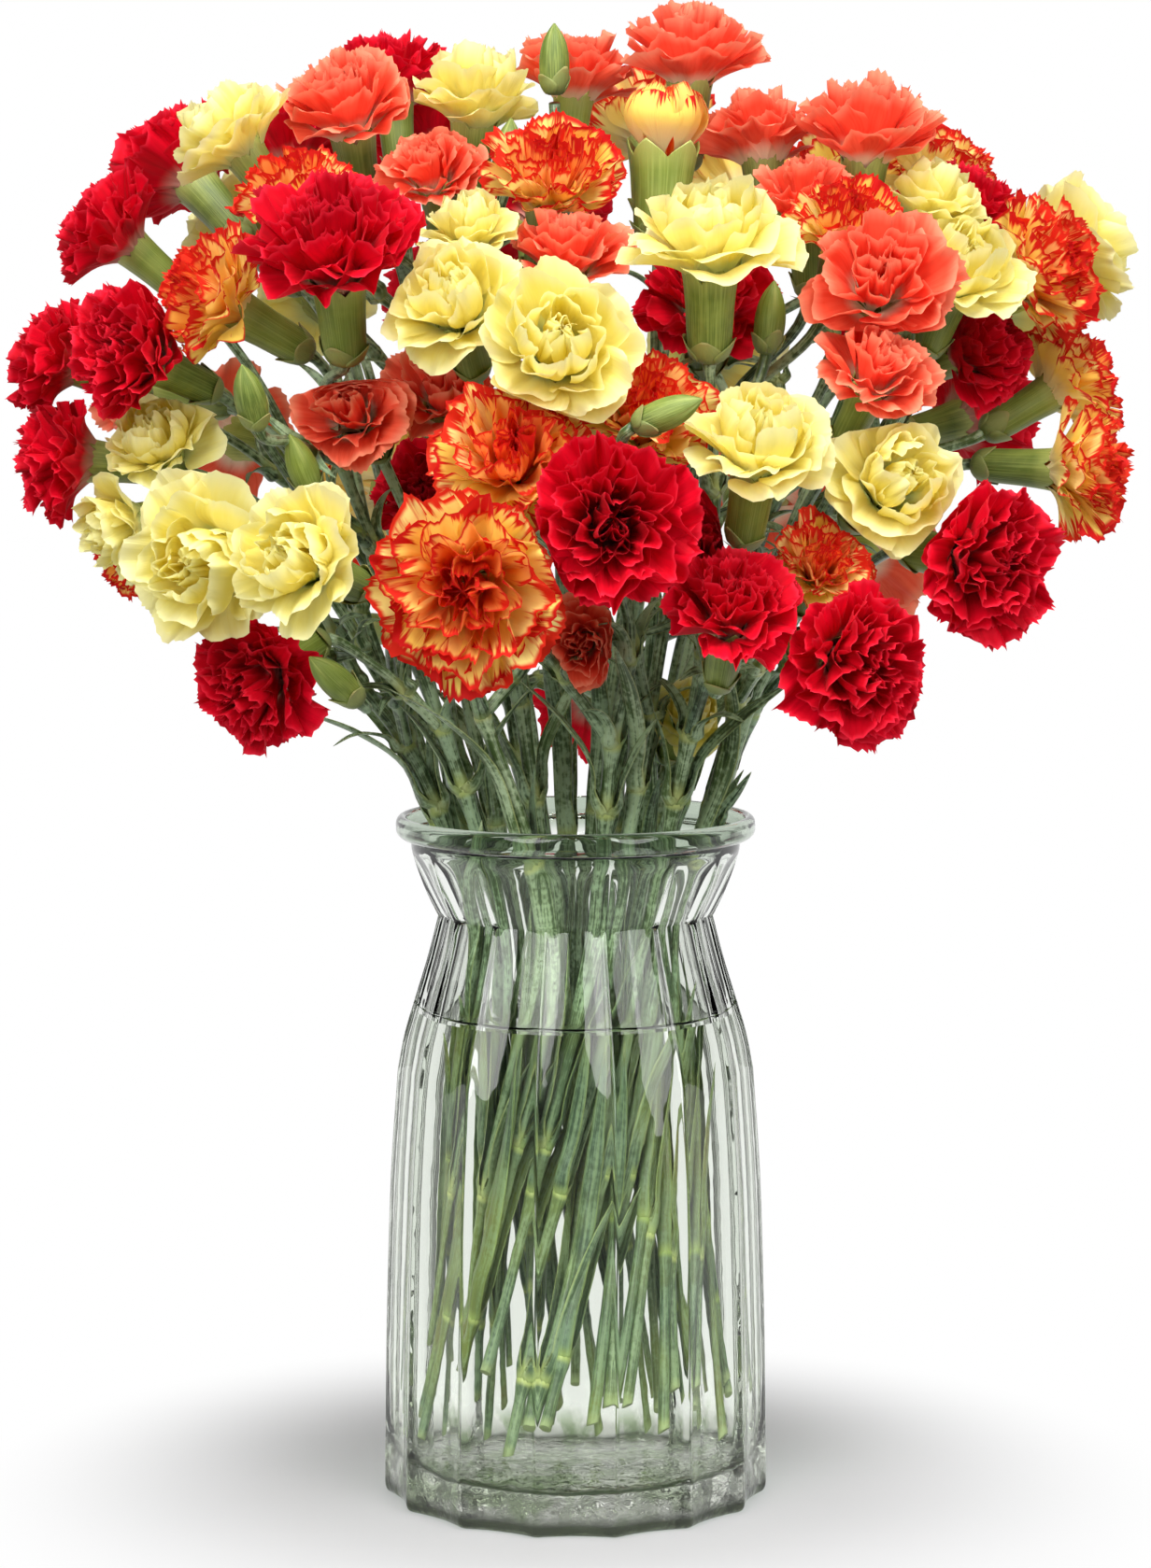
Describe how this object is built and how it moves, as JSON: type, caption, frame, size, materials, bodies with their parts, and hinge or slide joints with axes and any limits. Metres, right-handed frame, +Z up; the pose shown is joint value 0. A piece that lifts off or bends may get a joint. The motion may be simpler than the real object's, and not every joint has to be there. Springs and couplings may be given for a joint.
{
  "type": "carnations in a vase",
  "caption": "Loose dome of spray carnations in red, yellow, coral and bicolour on long jointed stems, standing in water in a waisted clear glass vase with upright flutes and a rolled rim.",
  "frame": {"origin": "middle of the vase's flat base, on the surface it stands on", "axes": "+Z up along the vase's axis, -Y towards the front that the picture shows, +X to its right"},
  "size_m": [0.326, 0.2883, 0.433],
  "materials": {
    "glass": "clear pressed glass, faintly green where it is thick",
    "water": "clear still water",
    "stem": "waxy blue-green stems, leaves and calyxes",
    "red": "soft matt petals, deep red",
    "yellow": "soft matt petals, pale yellow",
    "coral": "soft matt petals, orange-pink",
    "bicolour": "soft matt petals, yellow with red edges"
  },
  "bodies": {
    "root": {"blooms_bicolour_back": "bicolour", "blooms_bicolour_back_left": "bicolour", "blooms_bicolour_front": "bicolour", "blooms_bicolour_front_right": "bicolour", "blooms_bicolour_half_open": "bicolour", "blooms_bicolour_left": "bicolour", "blooms_bicolour_low_left": "bicolour", "blooms_bicolour_right": "bicolour", "blooms_bicolour_upper": "bicolour", "blooms_bicolour_upper_right": "bicolour", "blooms_coral_back_left": "coral", "blooms_coral_back_right": "coral", "blooms_coral_centre": "coral", "blooms_coral_left": "coral", "blooms_coral_low": "coral", "blooms_coral_right": "coral", "blooms_coral_top": "coral", "blooms_coral_top_left": "coral", "blooms_red_back_low": "red", "blooms_red_back_right": "red", "blooms_red_front": "red", "blooms_red_inner_left": "red", "blooms_red_left": "red", "blooms_red_low_left": "red", "blooms_red_right": "red", "blooms_red_top_left": "red", "blooms_red_upper": "red", "blooms_red_upper_left": "red", "blooms_red_upper_right": "red", "blooms_yellow_back": "yellow", "blooms_yellow_back_left": "yellow", "blooms_yellow_centre": "yellow", "blooms_yellow_front_left": "yellow", "blooms_yellow_front_right": "yellow", "blooms_yellow_left": "yellow", "blooms_yellow_low": "yellow", "blooms_yellow_right": "yellow", "blooms_yellow_top": "yellow", "blooms_yellow_top_left": "yellow", "blooms_yellow_top_right": "yellow", "blooms_yellow_upper": "yellow", "stems_bicolour_back_left_and_red_back": "stem", "stems_bicolour_back_right": "stem", "stems_bicolour_front_and_red_centre": "stem", "stems_bicolour_left": "stem", "stems_bicolour_top": "stem", "stems_coral_back_left_and_yellow_back_left": "stem", "stems_coral_left": "stem", "stems_coral_right_and_yellow_right": "stem", "stems_coral_top_and_coral_top_left": "stem", "stems_red_back_right_and_coral_back_right": "stem", "stems_red_centre_left": "stem", "stems_red_left_and_yellow_left": "stem", "stems_red_right_and_bicolour_right": "stem", "stems_red_top_left": "stem", "stems_yellow_back": "stem", "stems_yellow_centre": "stem", "stems_yellow_front": "stem", "vase": "glass", "water": "water"}
  },
  "joints": []
}
